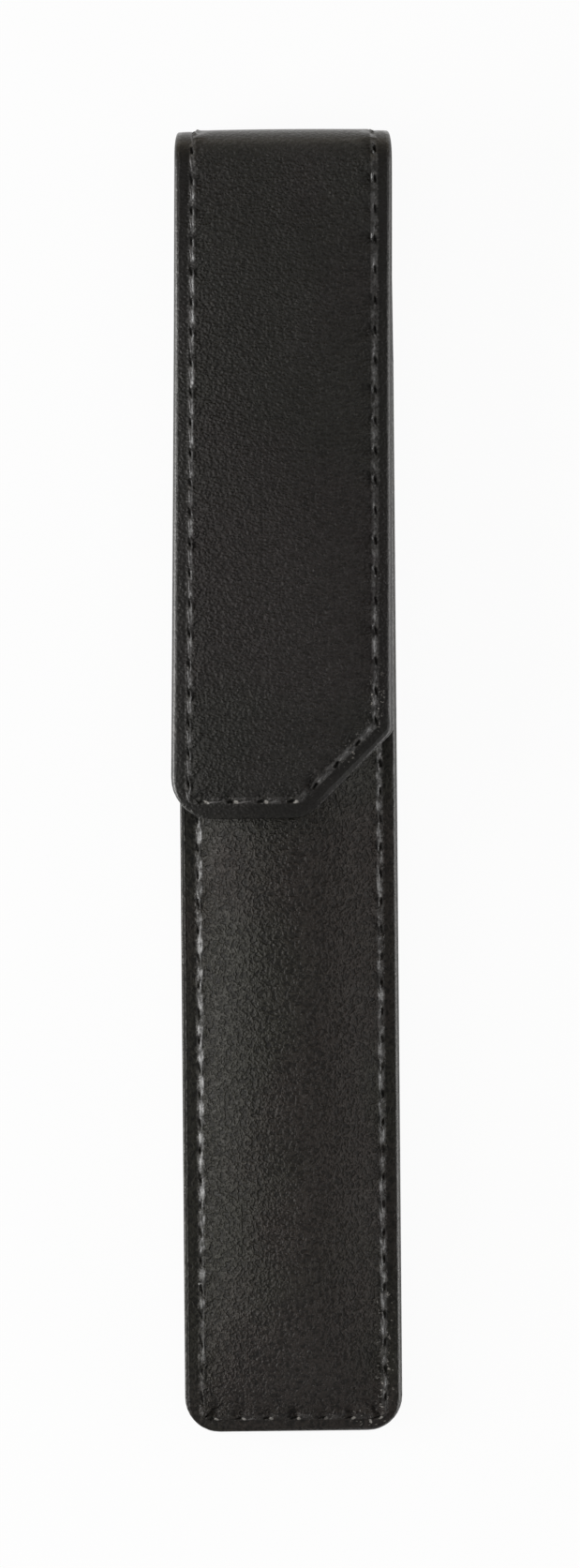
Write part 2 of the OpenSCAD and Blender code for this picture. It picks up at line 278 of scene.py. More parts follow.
class Sheet:
    """A flat pattern of a sheet: its points, inset from the edge, seam phase, faces and the loop round its rim."""

    def __init__(self, seam, top_y, lines, offsets, step, columns, cut_top=False):
        self.seam, self.top_y, self.lines = seam, top_y, lines
        self.cut_steps = CUT_END_STEPS if cut_top else ()
        self.phase_0 = seam.phase_at(top_y)
        stretch_of, share_of, run_of = self.spokes(offsets)
        self.phase_band = self.phase_0 + run_of / seam.pitch
        band = self.band(stretch_of, share_of)
        band_phase = np.repeat(self.phase_band[:, None], len(lines), 1)
        for j in range(len(lines)):
            self.level_corners(band[:, j], band_phase[:, j])
        gap = step * 0.8
        grid = self.grid(step, columns, gap)
        inner = grid.reshape(-1, 2)
        inner_inset = np.maximum(seam.inset_of(inner), lines[-1] + 0.5 * gap)
        inner_phase = np.interp(inner[:, 1], [inner[:, 1].min(), top_y], [self.phase_band.mean(), self.phase_0])
        self.points = np.concatenate([band.reshape(-1, 2), inner])
        self.inset = np.concatenate([np.tile(lines, len(band)), inner_inset])
        self.phase = np.concatenate([band_phase.ravel(), inner_phase])

        band_index = np.arange(band_phase.size).reshape(band_phase.shape)
        grid_index = band_phase.size + np.arange(len(inner)).reshape(grid.shape[:2])
        self.quads = np.concatenate([grid_quads(band_index), grid_quads(grid_index)])
        rim_index, rim = (np.concatenate([g[:, 0], g[-1, 1:], g[-2::-1, -1]]) for g in (grid_index, grid))
        self.triangles = np.array(zip_strip(band_index[:, -1], band[:, -1], rim_index, rim))
        self.top_row = np.concatenate([band_index[0], grid_index[0], band_index[-1, ::-1]])
        self.edge = band_index[:, 0]
        self.sides = np.sign(self.points[self.top_row, 0])

    def spokes(self, offsets):
        """Where the band's spokes cross the seam: on which of its stretches, at what share of it, and how far along."""
        path = self.seam.path(self.top_y, seam_inset)
        lengths = [stretch_length(s) for s in path]
        total = sum(lengths)
        holes = range(int(self.phase_0) - 1, int(self.phase_0 + total / self.seam.pitch) + 2)
        wanted = [(n - self.phase_0) * self.seam.pitch + o for n in holes for o in offsets]
        wanted += [*self.cut_steps] + [total - e for e in self.cut_steps]
        places, run = [], 0.0
        for m, (stretch, length) in enumerate(zip(path, lengths)):
            shares = [0.0]
            if length > LEAST_STEP:
                low, high = run + LEAST_STEP, run + length - LEAST_STEP
                shares += [(s - run) / length for s in wanted if low < s < high]
            if stretch[0] == "arc":
                shares += [k / ARC_SPOKES for k in range(1, ARC_SPOKES)]
            kept = []
            for share in sorted(shares):
                if not kept or share - kept[-1] > LEAST_SHARE:
                    kept.append(share)
            if m == len(path) - 1:
                kept.append(1.0)
            places += [(m, share, run + share * length) for share in kept]
            run += length
        return (np.array(values) for values in zip(*places))

    def band(self, stretch_of, share_of):
        """Points of each spoke on the band's lines."""
        points = np.zeros((len(stretch_of), len(self.lines), 2))
        for j, inset in enumerate(self.lines):
            for m, stretch in enumerate(self.seam.path(self.top_y, inset)):
                here = stretch_of == m
                if here.any():
                    points[here, j] = along(stretch, share_of[here])
        return points

    def grid(self, step, columns, gap):
        """Points of the rows across the sheet between its bands. A row passes through each corner of the inner rim."""
        inner = self.seam.path(self.top_y, self.lines[-1] + gap)
        bottom = min(along(s, [0])[0][1] for s in inner)
        corners = [c[1] for c in (along(s, [1])[0] for s in inner) if bottom + 0.3 < c[1] < self.top_y - 0.3]
        rows = list(np.linspace(self.top_y, bottom, int((self.top_y - bottom) / step) + 2))
        rows += [self.top_y - e for e in self.cut_steps]
        rows = [y for y in rows if all(abs(y - c) > 0.15 for c in corners)] + corners
        rows = sorted(rows, reverse=True)
        rows = [y for i, y in enumerate(rows) if i == 0 or rows[i - 1] - y > LEAST_ROW]
        left, right = (self.crossings(inner, rows, first) for first in (True, False))
        x = left[:, None] + (right - left)[:, None] * np.linspace(0, 1, columns + 1)
        return np.stack([x, np.repeat(np.array(rows)[:, None], columns + 1, 1)], -1)

    @staticmethod
    def level_corners(points, phase):
        """Gives the spokes that meet in one point of a sharp inner corner the same phase."""
        start = 0
        for i in range(1, len(points) + 1):
            if i == len(points) or np.linalg.norm(points[i] - points[start]) > 1e-4:
                phase[start:i] = phase[start:i].mean()
                start = i

    @staticmethod
    def crossings(path, rows, first):
        """Where each row meets the left or the right side of a path."""
        line = np.concatenate([along(s, np.linspace(0, 1, 9)) for s in path])
        low = int(np.argmin(np.round(line[:, 1], 6))) if first else len(line) - 1 - int(
            np.argmin(np.round(line[::-1, 1], 6)))
        side = line[:low + 1][::-1] if first else line[low:]
        return np.interp(rows, side[:, 1], side[:, 0])


def grid_quads(index):
    """Faces between the points of a grid, given as their numbers."""
    return np.stack([index[:-1, :-1], index[1:, :-1], index[1:, 1:], index[:-1, 1:]], -1).reshape(-1, 4)


def zip_strip(a_index, a_points, b_index, b_points):
    """Triangles between two lines of points that run side by side."""
    triangles, i, j = [], 0, 0
    last_a, last_b = len(a_index) - 1, len(b_index) - 1
    while i < last_a or j < last_b:
        step_a = i < last_a
        if step_a and j < last_b:
            by_a = np.linalg.norm(a_points[i + 1] - b_points[j])
            by_b = np.linalg.norm(b_points[j + 1] - a_points[i])
            step_a = by_a <= by_b
        if step_a:
            triangles.append((a_index[i], a_index[i + 1], b_index[j]))
            i += 1
        else:
            triangles.append((a_index[i], b_index[j + 1], b_index[j]))
            j += 1
    return triangles


# Surfaces

def crown_rise(u):
    return 1 - np.minimum(np.abs(u), 1) ** crown_power


def crown_height(x, y):
    """Height of the front panel above its sewn margin."""
    half = body_w / 2 - crown_inset
    start = closed_end_y + end_crown_inset
    return crown_h * crown_rise(x / half) * crown_rise(np.maximum(0, 1 - (y - start) / crown_run))


def flap_height(x, y):
    """How far the flap lies below the level of its middle, as a negative height."""
    left, right = flap_edges(y)
    place = (2 * x - left - right) / (right - left)
    return -flap_droop * place ** 2 * smooth((fold_y - y) / droop_run)


def edge_drop(inset, r):
    """Fall of a rounded edge below the face it belongs to."""
    return r - np.sqrt(r * r - np.clip(r - inset, 0, r) ** 2)


def front_edge(x):
    """Radius of the front panel's edge, which is worn rounder on one side."""
    return front_edge_r * (1 + x / body_w)


# The flap's edge is crisp along its free end, but for its worn left corner
crisp_run, crisp_fade = 6.0, 8.0
worn_x, worn_fade = 10.0, 2.5


def flap_edge(x, y):
    """Radius of the flap's edge, which is worn round along its sides and crisp at its free end."""
    side = np.maximum(smooth((y - flap_end_y - crisp_run) / crisp_fade), 0.8 * smooth((-x - worn_x) / worn_fade))
    return cover_edge_r * (0.4 + (0.45 + 0.3 * x / body_w) * side)


def wobble(t, seed):
    """Smooth random waves, from -1 to 1, about a unit long."""
    total = np.zeros_like(t)
    for k, (rate, size) in enumerate(((0.37, 0.5), (0.83, 0.3), (1.71, 0.2))):
        total += size * np.sin(2 * math.pi * (rate * t + 0.173 * seed + 0.29 * k) + 1.9 * seed * (k + 1))
    return total


def bell(t, power=2):
    """A rounded bump, 1 at 0 and nearly 0 beyond 2. A higher power makes it flatter on top."""
    return np.exp(-np.abs(t) ** power)


# Shape of sewn leather beside its seam. half_w and half_len are where a form has fallen to about a third.
hole_slant = math.radians(16)
hole_d, hole_half_len, hole_half_w = 0.2, 0.45, 0.09
furrow_share, furrow_half_w = 0.35, 0.3
ring_h, ring_half_len, ring_half_w, ring_softness = 0.22, 0.7, 0.3, 0.34
ridge_steep = 0.22
pucker_h, pucker_start, pucker_fade, pucker_end = 0.28, 0.3, 1.5, 2.2
margin_h, margin_at, margin_half_w = 0.015, 0.85, 0.35


def ridge_lean(x, middle, spread):
    """How far in from the seam its ridge lies, which differs between the two sides."""
    return middle - spread * np.clip(x / 6, -1, 1)


def seam_relief(inset, phase, pitch, depth, seed, lean, ridge_h, pull=1.0, ridge_back=ridge_steep):
    """Height of sewn leather near its seam: furrow, stitch holes with raised rings, a ridge inside them, and puckers
    towards the middle.

    lean is how far in from the seam the ridge lies, pull how strong the puckers are, and ridge_back how gently the
    ridge falls towards the middle.
    """
    nearest = np.round(phase)
    u = (phase - nearest) * pitch
    v = inset - seam_inset
    a = u * math.cos(hole_slant) + v * math.sin(hole_slant)
    b = v * math.cos(hole_slant) - u * math.sin(hole_slant)
    draw = 1 + 0.5 * wobble(nearest * 1.7, seed)
    beat = np.cos(2 * math.pi * phase)
    furrow = -furrow_share * depth * bell(v / furrow_half_w, 2.6) * (0.6 + 0.4 * beat)
    hole = -hole_d * bell(a / hole_half_len, 4) * bell(b / hole_half_w)
    inner = 0.14 + 0.96 * smooth((v + 0.2) / 0.4)
    ring = ring_h * draw * inner * bell((np.hypot(a / ring_half_len, b / ring_half_w) - 1) / ring_softness)
    crumple = 0.6 + 0.5 * wobble(phase * 2.1, seed + 5)
    steep = np.where(v < lean, ridge_steep, ridge_back)
    ridge = ridge_h * draw * crumple * bell((v - lean) / steep) * (0.75 - 0.25 * beat)
    inward = np.clip(v, 0, None)
    fan = np.exp(-inward / pucker_fade) * (1 - np.exp(-inward / pucker_start)) * smooth((pucker_end - inward) / 1.2)
    skewed = phase + 0.05 * inward * wobble(phase * 0.31, seed + 3)
    puckers = -pucker_h * pull * draw * fan * np.cos(2 * math.pi * skewed)
    margin = margin_h * bell((np.clip(-v, 0, None) - margin_at) / margin_half_w) * (1 - 0.6 * beat)
    return furrow + hole + ring + ridge + puckers + margin


# Meshes

def show(name, data):
    """A new object of this data, in the scene."""
    made = bpy.data.objects.new(name, data)
    bpy.context.scene.collection.objects.link(made)
    return made


class Layer:
    """One sheet of leather or lining: its upper and lower face over one pattern, and rows that take it over the fold.

    Each point also has what its finish reads: inset and phase on the seam, distance to the rim, and stretch.
    """

    def __init__(self, sheet=None):
        self.sheet = sheet
        self.parts = {key: [] for key in ("upper", "lower", "inset", "phase", "rim", "stretch")}
        self.quads, self.triangles, self.rows = [], np.zeros((0, 3), int), []
        self.size = 0

    def add(self, upper, lower, inset, phase, rim, stretch):
        for key, value in zip(self.parts, (upper, lower, inset, phase, rim, np.full(len(inset), stretch))):
            self.parts[key].append(value)
        self.size += len(inset)

    def lay(self, upper_z, lower_z, rim=None):
        """Puts the sheet's own pattern down between two heights."""
        sheet = self.sheet
        self.quads, self.triangles, self.rows = [sheet.quads], sheet.triangles, [sheet.top_row]
        upper, lower = (np.column_stack([sheet.points, z]) for z in (upper_z, lower_z))
        self.add(upper, lower, sheet.inset, sheet.phase, sheet.inset if rim is None else rim, 0.0)

    def add_row(self, upper, lower, inset, phase, stretch):
        """One more row of points beyond the last one."""
        row = self.size + np.arange(len(upper))
        if self.rows:
            last = self.rows[-1]
            self.quads.append(np.stack([row[:-1], last[:-1], last[1:], row[1:]], -1))
        self.rows.append(row)
        self.add(upper, lower, inset, phase, inset, stretch)

    def border(self):
        """The loop round the pattern, anticlockwise as seen from its upper face."""
        left = [row[0] for row in self.rows[::-1]]
        right = [row[-1] for row in self.rows]
        top = self.rows[-1][::-1]
        bottom = self.sheet.edge if self.sheet else self.rows[0]
        return np.concatenate([left, bottom[1:-1], right, top[1:-1]]).astype(int)

    def piece(self, name):
        """The closed mesh of both faces and the rim between them."""
        whole = {key: np.concatenate(value) for key, value in self.parts.items()}
        points = np.concatenate([whole.pop("upper"), whole.pop("lower")]) * MM
        n, border = self.size, self.border()
        after = np.roll(border, -1)
        quads = np.concatenate(self.quads)
        wall = np.stack([border, border + n, after + n, after], -1)
        fours = np.concatenate([quads, quads[:, ::-1] + n, wall])
        threes = np.concatenate([self.triangles, self.triangles[:, ::-1] + n])
        loops = np.concatenate([fours.ravel(), threes.ravel()]).astype(np.int32)
        sizes = np.concatenate([np.full(len(fours), 4), np.full(len(threes), 3)])
        mesh = bpy.data.meshes.new(name)
        mesh.vertices.add(len(points))
        mesh.vertices.foreach_set("co", points.ravel())
        mesh.loops.add(len(loops))
        mesh.loops.foreach_set("vertex_index", loops)
        mesh.polygons.add(len(sizes))
        mesh.polygons.foreach_set("loop_start", (np.cumsum(sizes) - sizes).astype(np.int32))
        mesh.update(calc_edges=True)
        for key, value in whole.items():
            layer = mesh.attributes.new(key, "FLOAT", "POINT")
            layer.data.foreach_set("value", np.tile(value, 2).astype(np.float32))
        made = show(name, mesh)
        finish_mesh(made)
        return made


def finish_mesh(made):
    """Merges the points that meet in sharp inner corners, and shades smooth but for the rims."""
    work = bmesh.new()
    work.from_mesh(made.data)
    bmesh.ops.remove_doubles(work, verts=work.verts, dist=0.002 * MM)
    bmesh.ops.dissolve_degenerate(work, edges=work.edges, dist=0.001 * MM)
    for edge in work.edges:
        edge.smooth = len(edge.link_faces) == 2 and edge.calc_face_angle(0) < rim_angle
    for face in work.faces:
        face.smooth = True
    work.to_mesh(made.data)
    work.free()


rim_angle = math.radians(55)
fold_steps = 24

# How the seams differ: height of the ridge inside them, how hard the thread pulls, and seed of their wobble
front_ridge_h, front_ridge_back, front_pull, front_seed = 0.29, 0.8, 1.3, 5.0
back_ridge_h, back_pull, cover_seed = 0.1, 0.3, 2.0
flap_ridge_h, fold_ridge_h = 0.08, 0.18

front_sheet = Sheet(body_seam, mouth_y, leather_lines(front_edge_r), LEATHER_SPOKES, 0.62, 30, cut_top=True)
back_sheet = Sheet(body_seam, fold_y, leather_lines(cover_edge_r), LEATHER_SPOKES[::2], 0.9, 24)
flap_sheet = Sheet(flap_seam, fold_y, leather_lines(cover_edge_r), LEATHER_SPOKES, 0.62, 24)
front_lining_sheet = Sheet(body_seam, mouth_y, LINING_LINES, LINING_SPOKES, 0.9, 20, cut_top=True)
back_lining_sheet = Sheet(body_seam, fold_y, LINING_LINES, LINING_SPOKES, 0.9, 20)
flap_lining_sheet = Sheet(flap_seam, fold_y, LINING_LINES, LINING_SPOKES, 0.9, 20)


def draw_in(points):
    """Narrows the back from the mouth up to the fold."""
    share = np.clip((points[:, 1] - mouth_y) / (fold_y - mouth_y), 0, 1)
    points[:, 0] *= 1 + (fold_w / body_w - 1) * share


for back_pattern in (back_sheet, back_lining_sheet):
    draw_in(back_pattern.points)

fold_end_draw = 0.3
fold_arch = 0.14
fold_pitch = math.pi * fold_r / 4
fold_relief_max = 0.4
# The flap's leather stands up between its seams, first steeply and then gently
pillow_h = 0.27
pillow_steep = 0.38
pillow_run = 2.2
flap_ridge = (0.22, 0.26)
ridge_before_pillow = 0.06


def pillow(inset, lean):
    """Height of the flap's middle over its seams."""
    inward = np.clip(inset - seam_inset - lean, 0, None)
    return pillow_h * (0.75 * (1 - np.exp(-inward / pillow_steep)) + 0.25 * smooth(inward / pillow_run))


def cover_relief(inset, phase, turn):
    """Height of the cover's outer face on the fold, which goes from the back's at 0 to the flap's at 180."""
    x = np.linspace(-fold_w / 2, fold_w / 2, len(inset))
    share = turn / 180
    depth = back_furrow_d + (furrow_d - back_furrow_d) * share
    lean = ridge_lean(x, *flap_ridge)
    pull = back_pull + (1 - back_pull) * share
    flat = seam_relief(
        inset, phase, fold_pitch, depth, cover_seed, lean - ridge_before_pillow, fold_ridge_h, pull)
    flat = flat + pillow(inset, lean) * share
    sharper = 1 - 0.55 * math.sin(math.radians(turn)) ** 2
    edge_r = cover_edge_r + (flap_edge(x, fold_y) - cover_edge_r) * share
    most = fold_relief_max * smooth((turn - 10) / 60)
    return np.minimum(flat, most) - edge_drop(inset, edge_r * sharper)


def fold_narrowing(turn):
    """How much closer to the middle each end of the fold lies, as it bends round."""
    return fold_end_draw * math.sin(math.radians(turn)) ** 4


def fold_sag(x, turn):
    """How far the fold's sides lie inside its middle, where the seams draw it in."""
    return fold_arch * np.minimum(np.abs(x) / (fold_w / 2), 1) ** 2 * math.sin(math.radians(turn)) ** 2


def fold_x(back, flap, turn):
    """Places across the fold of the points that join these two sheets."""
    x_back, x_flap = back.points[back.top_row, 0], flap.points[flap.top_row, 0]
    x = x_back + (x_flap - x_back) * turn / 180
    return x * (1 - fold_narrowing(turn) / (fold_w / 2))


def fold_point(x, r, turn):
    """A point of the fold at this radius and turn from the back."""
    angle = math.radians(turn)
    return np.stack([x, fold_y + r * math.sin(angle), fold_r - r * math.cos(angle)], -1)


def carry(layer, sheet_pair, turns, radii, outer_is_upper=True):
    """Carries a layer over the fold through the given turns. radii gives its outer and inner radius at a turn."""
    flap = sheet_pair[1]
    inset = flap.inset[flap.top_row]
    for turn in turns:
        x = fold_x(*sheet_pair, turn)
        past = (180 - turn) / hinge_step
        phase = np.where(flap.sides < 0, flap.phase_band[0] - past, flap.phase_band[-1] + past)
        outer_r, inner_r = radii(inset, phase, turn)
        sag = fold_sag(x, turn)
        outer, inner = fold_point(x, outer_r - sag, turn), fold_point(x, inner_r - sag, turn)
        upper, lower = (outer, inner) if outer_is_upper else (inner, outer)
        layer.add_row(upper, lower, inset, phase, math.sin(math.radians(turn)) ** 2)


def cover_radii(inset, phase, turn):
    return fold_r + cover_relief(inset, phase, turn), np.full_like(inset, fold_r - leather_t)


lining_furrow_d, lining_furrow_half_w = 0.12, 0.5
lining_hole_d, lining_hole_half_len, lining_hole_half_w = 0.2, 0.45, 0.25


def lining_relief(inset, phase):
    """Fall of a lining's open face along its seam and at its rounded edge."""
    nearest = np.round(phase)
    u = (phase - nearest) * fold_pitch
    v = inset - seam_inset
    furrow = lining_furrow_d * bell(v / lining_furrow_half_w)
    hole = lining_hole_d * bell(u / lining_hole_half_len) * bell(v / lining_hole_half_w)
    return furrow + hole + edge_drop(inset, lining_edge_r)


def lining_radii(inset, phase, turn):
    outer = fold_r - leather_t
    return np.full_like(inset, outer), outer - lining_t + lining_relief(inset, phase)


leather_pair = (back_sheet, flap_sheet)
lining_pair = (back_lining_sheet, flap_lining_sheet)


def turns_between(start, end):
    """Turns of the rows from start to end. A layer that already has its first row leaves it out."""
    return np.linspace(start, end, fold_steps + 1)


# Leather

def make_front_leather():
    sheet = front_sheet
    x, y = sheet.points.T
    rim = np.minimum(sheet.inset, mouth_y - y)
    crown = crown_height(x, y)
    lean = ridge_lean(x, 0.09, 0.01)
    relief = seam_relief(
        sheet.inset, sheet.phase, body_seam.pitch, furrow_d, front_seed, lean, front_ridge_h, front_pull,
        front_ridge_back)
    layer = Layer(sheet)
    layer.lay(margin_top + crown + relief - edge_drop(rim, front_edge(x)), front_leather_z + crown, rim)
    return layer.piece("front_leather_panel")


def make_cover_flap():
    sheet = flap_sheet
    x, y = sheet.points.T
    lie = flap_height(x, y)
    lean = ridge_lean(x, *flap_ridge)
    ridge_h = flap_ridge_h + (fold_ridge_h - flap_ridge_h) * smooth((y - 5) / 25)
    relief = pillow(sheet.inset, lean) + seam_relief(
        sheet.inset, sheet.phase, flap_seam.pitch, furrow_d, cover_seed, lean - ridge_before_pillow, ridge_h)
    layer = Layer(sheet)
    layer.lay(flap_top + lie + relief - edge_drop(sheet.inset, flap_edge(x, y)), flap_top - leather_t + lie)
    carry(layer, leather_pair, turns_between(180, 135)[1:], cover_radii)
    return layer.piece("cover_flap_panel")


def make_cover_back():
    sheet = back_sheet
    relief = seam_relief(
        sheet.inset, sheet.phase, body_seam.pitch, back_furrow_d, cover_seed, 0.0, back_ridge_h, back_pull)
    layer = Layer(sheet)
    under = np.minimum(relief - edge_drop(sheet.inset, cover_edge_r), 0)
    layer.lay(np.full_like(under, leather_t), -under)
    carry(layer, leather_pair, turns_between(0, 45)[1:], cover_radii, outer_is_upper=False)
    return layer.piece("cover_back_panel")


def make_fold_band(name, pair, radii, start, end):
    layer = Layer()
    carry(layer, pair, turns_between(start, end), radii)
    return layer.piece(name)


# Lining

def back_cover_step(x, y, lap):
    """Share of the board's height that a face of the back's lining is raised by."""
    half_w = body_w / 2 - back_cover_inset - lap - back_cover_r
    low = closed_end_y + back_cover_end_inset + lap + back_cover_r
    high = fold_y - cover_to_fold - lap - back_cover_r
    out = np.hypot(np.maximum(np.abs(x) - half_w, 0), np.maximum(np.maximum(low - y, y - high), 0))
    return smooth((back_cover_r - out) / cover_step_run)


def flap_cover_step(inset, y, lap):
    return smooth(np.minimum(inset - flap_cover_inset - lap, fold_y - cover_to_fold - lap - y) / cover_step_run)


def make_front_lining():
    sheet = front_lining_sheet
    x, y = sheet.points.T
    rim = np.minimum(sheet.inset, mouth_y - y)
    crown = crown_height(x, y)
    layer = Layer(sheet)
    layer.lay(front_leather_z + crown, front_lining_z + crown + 0.5 * edge_drop(rim, lining_edge_r), rim)
    return layer.piece("front_lining_sheet")


def make_back_lining():
    sheet = back_lining_sheet
    x, y = sheet.points.T
    top = leather_t + lining_t + board_t * back_cover_step(x, y, 0)
    open_part = smooth((y - mouth_y) / 0.5)
    top = top - open_part * lining_relief(sheet.inset, sheet.phase)
    layer = Layer(sheet)
    layer.lay(top, leather_t + board_t * back_cover_step(x, y, cover_lap))
    carry(layer, lining_pair, turns_between(0, 45)[1:], lining_radii, outer_is_upper=False)
    return layer.piece("back_lining_sheet")


def make_flap_lining():
    sheet = flap_lining_sheet
    x, y = sheet.points.T
    lie = flap_height(x, y)
    face = flap_top - leather_t
    layer = Layer(sheet)
    layer.lay(
        face + lie - board_t * flap_cover_step(sheet.inset, y, cover_lap),
        face - lining_t + lie - board_t * flap_cover_step(sheet.inset, y, 0)
        + lining_relief(sheet.inset, sheet.phase)
    )
    carry(layer, lining_pair, turns_between(180, 135)[1:], lining_radii)
    return layer.piece("flap_lining_sheet")


# Threads

def stitch_row(name, points, ways, ups):
    """A row of points that stitches are set on, each with the way the thread runs and the way the leather faces."""
    mesh = bpy.data.meshes.new(name)
    mesh.from_pydata([tuple(q) for q in np.array(points) * MM], [], [])
    for key, value in (("way", ways), ("up", ups)):
        layer = mesh.attributes.new(key, "FLOAT_VECTOR", "POINT")
        layer.data.foreach_set("vector", np.array(value, np.float32).ravel())
    return show(name, mesh)


def seam_places(seam, top_y):
    """Middle of each stitch of a seam below top_y, with the way the seam runs there."""
    path = seam.path(seam.start_y, seam_inset)
    places, run = [], 0.0
    wanted = [(i + 0.5) * seam.pitch for i in range(seam.count)]
    for stretch in path:
        length = stretch_length(stretch)
        for s in wanted:
            if run <= s < run + length:
                here = (s - run) / length
                a, b = along(stretch, [here - 0.01, here + 0.01])
                places.append((along(stretch, [here])[0], (b - a) / np.linalg.norm(b - a)))
        run += length
    return [(q, w) for q, w in places if q[1] < top_y]


def spaced(label):
    return label.replace("_", " ")


class Wire:
    """The value of a socket, which arithmetic carries on into new nodes."""

    def __init__(self, w, socket):
        self.w, self.socket = w, socket

    def __add__(self, other):
        return self.w.math("ADD", self, other)

    def __sub__(self, other):
        return self.w.math("SUBTRACT", self, other)

    def __rsub__(self, other):
        return self.w.math("SUBTRACT", other, self)

    def __mul__(self, other):
        return self.w.math("MULTIPLY", self, other)

    def __abs__(self):
        return self.w.math("ABSOLUTE", self)


class Wiring:
    """Short ways to add nodes to a tree and join them."""

    def __init__(self, tree):
        self.tree = tree

    def node(self, kind, inputs=None, **settings):
        """Adds a node with these settings and inputs, which are given by name or number."""
        made = self.tree.nodes.new(kind)
        for key, value in settings.items():
            setattr(made, key, value)
        for key, value in (inputs or {}).items():
            self.set(made.inputs[key], value)
        return made

    def get(self, kind, output=0, inputs=None, **settings):
        """Adds a node and gives one of its outputs."""
        return Wire(self, self.node(kind, inputs, **settings).outputs[output])

    def outputs(self, made):
        return {socket.name: Wire(self, socket) for socket in made.outputs}

    def set(self, socket, value):
        """Joins a socket to another one's value, or gives it a plain value."""
        if isinstance(value, Wire):
            self.tree.links.new(value.socket, socket)
        else:
            socket.default_value = value

    def math(self, operation, *values, clamp=False):
        return self.get("ShaderNodeMath", 0, dict(enumerate(values)), operation=operation, use_clamp=clamp)

    def highest(self, *values):
        """The highest of several values."""
        top, *rest = values
        for value in rest:
            top = self.math("MAXIMUM", top, value)
        return top

    def vector(self, *xyz):
        return self.get("ShaderNodeCombineXYZ", 0, dict(enumerate(xyz)))

    def split(self, vector):
        return [Wire(self, socket) for socket in self.node("ShaderNodeSeparateXYZ", {0: vector}).outputs]

    def attribute(self, name):
        return self.get("ShaderNodeAttribute", "Fac", attribute_name=name)

    def ramp(self, value, low, high, out_low=0.0, out_high=1.0):
        """Goes smoothly from out_low to out_high as the value goes from low to high."""
        ends = {"Value": value, "From Min": low, "From Max": high, "To Min": out_low, "To Max": out_high}
        return self.get("ShaderNodeMapRange", 0, ends, interpolation_type="SMOOTHSTEP")

    def noise(self, place, scale, detail=3.0, roughness=0.55):
        given = {"Vector": place, "Scale": scale, "Detail": detail, "Roughness": roughness}
        return self.get("ShaderNodeTexNoise", 0, given)

    def mixed(self, share, a, b, blend="MIX"):
        """Blends two colours, each a plain one or a value."""
        a, b = ((*c, 1) if isinstance(c, tuple) else c for c in (a, b))
        return self.get("ShaderNodeMix", 2, {0: share, 6: a, 7: b}, data_type="RGBA", blend_type=blend)


def node_group(name, kind, **inputs):
    """A group of nodes whose inputs have these values, or are of these kinds."""
    w = Wiring(bpy.data.node_groups.new(name, kind + "NodeTree"))
    for label, value in inputs.items():
        is_kind = isinstance(value, str)
        socket_type = "NodeSocket" + (value if is_kind else type(value).__name__.capitalize())
        socket = w.tree.interface.new_socket(spaced(label), in_out="INPUT", socket_type=socket_type)
        if not is_kind:
            socket.default_value = value
    return w, w.outputs(w.node("NodeGroupInput"))


def end_group(w, kind="Float", **results):
    """Gives a group its outputs, which are all of one kind."""
    for label in results:
        w.tree.interface.new_socket(label, in_out="OUTPUT", socket_type="NodeSocket" + kind)
    w.node("NodeGroupOutput", results)
    return w.tree


def stitch_tree():
    """Sets one twisted stitch on each point of a row."""
    w, given = node_group(
        "set_stitches", "Geometry", Geometry="Geometry", Stitch_Length=stitch_len * MM, Thread_Width=0.34 * MM,
        Rise=0.09 * MM, Dive=0.3 * MM, Slant=0.08, Unevenness=0.06, Twist=5.0, Seed=3, Material="Material")
    half = given["Stitch Length"] * 0.5
    inner = given["Stitch Length"] * 0.36
    down = given["Dive"] * -1.0
    strand = w.get("GeometryNodeCurvePrimitiveBezierSegment", 0, {
        "Resolution": 9, "Start": w.vector(half * -1.0, 0.0, down),
        "Start Handle": w.vector(inner * -1.0, 0.0, given["Rise"]),
        "End Handle": w.vector(inner, 0.0, given["Rise"]), "End": w.vector(half, 0.0, down)
    }, mode="POSITION")
    turn = w.get("GeometryNodeSplineParameter", "Factor") * given["Twist"]
    strand = w.get("GeometryNodeSetCurveTilt", 0, {"Curve": strand, "Tilt": turn})
    plies = w.get("GeometryNodeCurveStar", 0, {
        "Points": 3, "Inner Radius": given["Thread Width"] * 0.38, "Outer Radius": given["Thread Width"] * 0.5})
    thread = w.get("GeometryNodeCurveToMesh", 0, {"Curve": strand, "Profile Curve": plies, "Fill Caps": True})
    thread = w.get("GeometryNodeSetShadeSmooth", 0, {"Geometry": thread})
    way, up = (w.get("GeometryNodeInputNamedAttribute", "Attribute", {"Name": name}, data_type="FLOAT_VECTOR")
               for name in ("way", "up"))
    run = w.get("FunctionNodeAlignRotationToVector", 0, {"Vector": way}, axis="X")
    face = w.get("FunctionNodeAlignRotationToVector", 0, {"Rotation": run, "Vector": up}, axis="Z", pivot_axis="X")
    ends = {2: given["Unevenness"] * -1.0, 3: given["Unevenness"], "Seed": given["Seed"]}
    uneven = w.get("FunctionNodeRandomValue", 1, ends, data_type="FLOAT")
    lean = w.get("FunctionNodeAxisAngleToRotation", 0, {"Axis": (0, 0, 1), "Angle": uneven + given["Slant"]})
    leaned = w.get("FunctionNodeRotateRotation", 0, {"Rotation": face, "Rotate By": lean}, rotation_space="LOCAL")
    placed = w.get("GeometryNodeInstanceOnPoints", 0, {
        "Points": given["Geometry"], "Instance": thread, "Rotation": leaned,
        "Scale": w.vector(uneven * 0.8 + 1.0, 1.0, 1.0)})
    real = w.get("GeometryNodeRealizeInstances", 0, {0: placed})
    finished = w.get("GeometryNodeSetMaterial", 0, {"Geometry": real, "Material": given["Material"]})
    return end_group(w, "Geometry", Geometry=finished)


